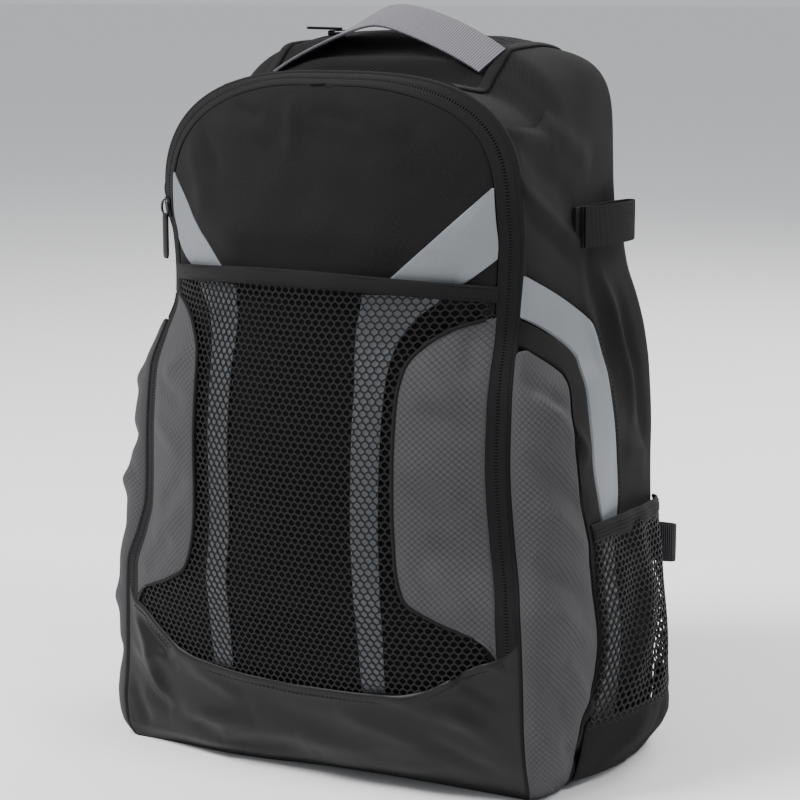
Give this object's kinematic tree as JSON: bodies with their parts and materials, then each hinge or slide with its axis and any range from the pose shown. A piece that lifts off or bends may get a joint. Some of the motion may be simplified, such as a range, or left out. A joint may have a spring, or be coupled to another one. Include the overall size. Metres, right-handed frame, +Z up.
{
  "type": "baseball bat backpack",
  "caption": "Packed baseball bat backpack with zipped arched front, net front pocket, side net pockets, bat loops, haul handle and padded straps.",
  "frame": {"origin": "middle of the flat base that the bag stands on", "axes": "+Z up along the standing bag, -Y towards the zipped front, +X to the right as seen from the front"},
  "size_m": [0.3508, 0.2714, 0.4704],
  "materials": {
    "black_fabric": "plain dark woven polyester",
    "ripstop_fabric": "dark grey ripstop with a fine diamond grid",
    "silver_fabric": "satin silver coated fabric",
    "net_fabric": "black net",
    "coated_fabric": "smooth coated cloth, low sheen",
    "grey_webbing": "ribbed webbing",
    "dark_webbing": "ribbed webbing",
    "dark_metal": "painted zip metal",
    "buckle_plastic": "moulded plastic"
  },
  "bodies": {
    "root": {"front_panel": "black_fabric", "front_zip": "black_fabric", "zip_pull": "dark_metal", "pocket_binding": "black_fabric", "front_ripstop_left": "ripstop_fabric", "front_ripstop_right": "ripstop_fabric", "front_net": "net_fabric", "front_stripe_left": "silver_fabric", "front_stripe_right": "silver_fabric", "front_flash_left": "silver_fabric", "front_flash_right": "silver_fabric", "base_front": "coated_fabric", "base_floor": "coated_fabric", "side_panel_left": "black_fabric", "side_panel_right": "black_fabric", "side_stripe_left": "silver_fabric", "side_stripe_right": "silver_fabric", "side_band_left": "black_fabric", "side_band_right": "black_fabric", "side_ripstop_left": "ripstop_fabric", "side_ripstop_right": "ripstop_fabric", "top_panel": "black_fabric", "main_zip": "black_fabric", "top_rear_panel": "black_fabric", "top_binding_left": "black_fabric", "top_binding_right": "black_fabric", "main_zip_slider": "dark_metal", "haul_handle": "grey_webbing", "back_panel": "black_fabric", "pocket_elastic_left": "black_fabric", "pocket_elastic_right": "black_fabric", "pocket_net_left": "net_fabric", "pocket_net_right": "net_fabric", "pocket_foot_left": "black_fabric", "pocket_foot_right": "black_fabric", "bat_loop_left": "black_fabric", "bat_loop_right": "black_fabric", "shoulder_strap_left": "black_fabric", "shoulder_strap_right": "black_fabric", "strap_buckle_left": "buckle_plastic", "strap_buckle_right": "buckle_plastic", "strap_webbing_left": "dark_webbing", "strap_webbing_right": "dark_webbing", "strap_anchor_left": "dark_webbing", "strap_anchor_right": "dark_webbing"}
  },
  "joints": []
}
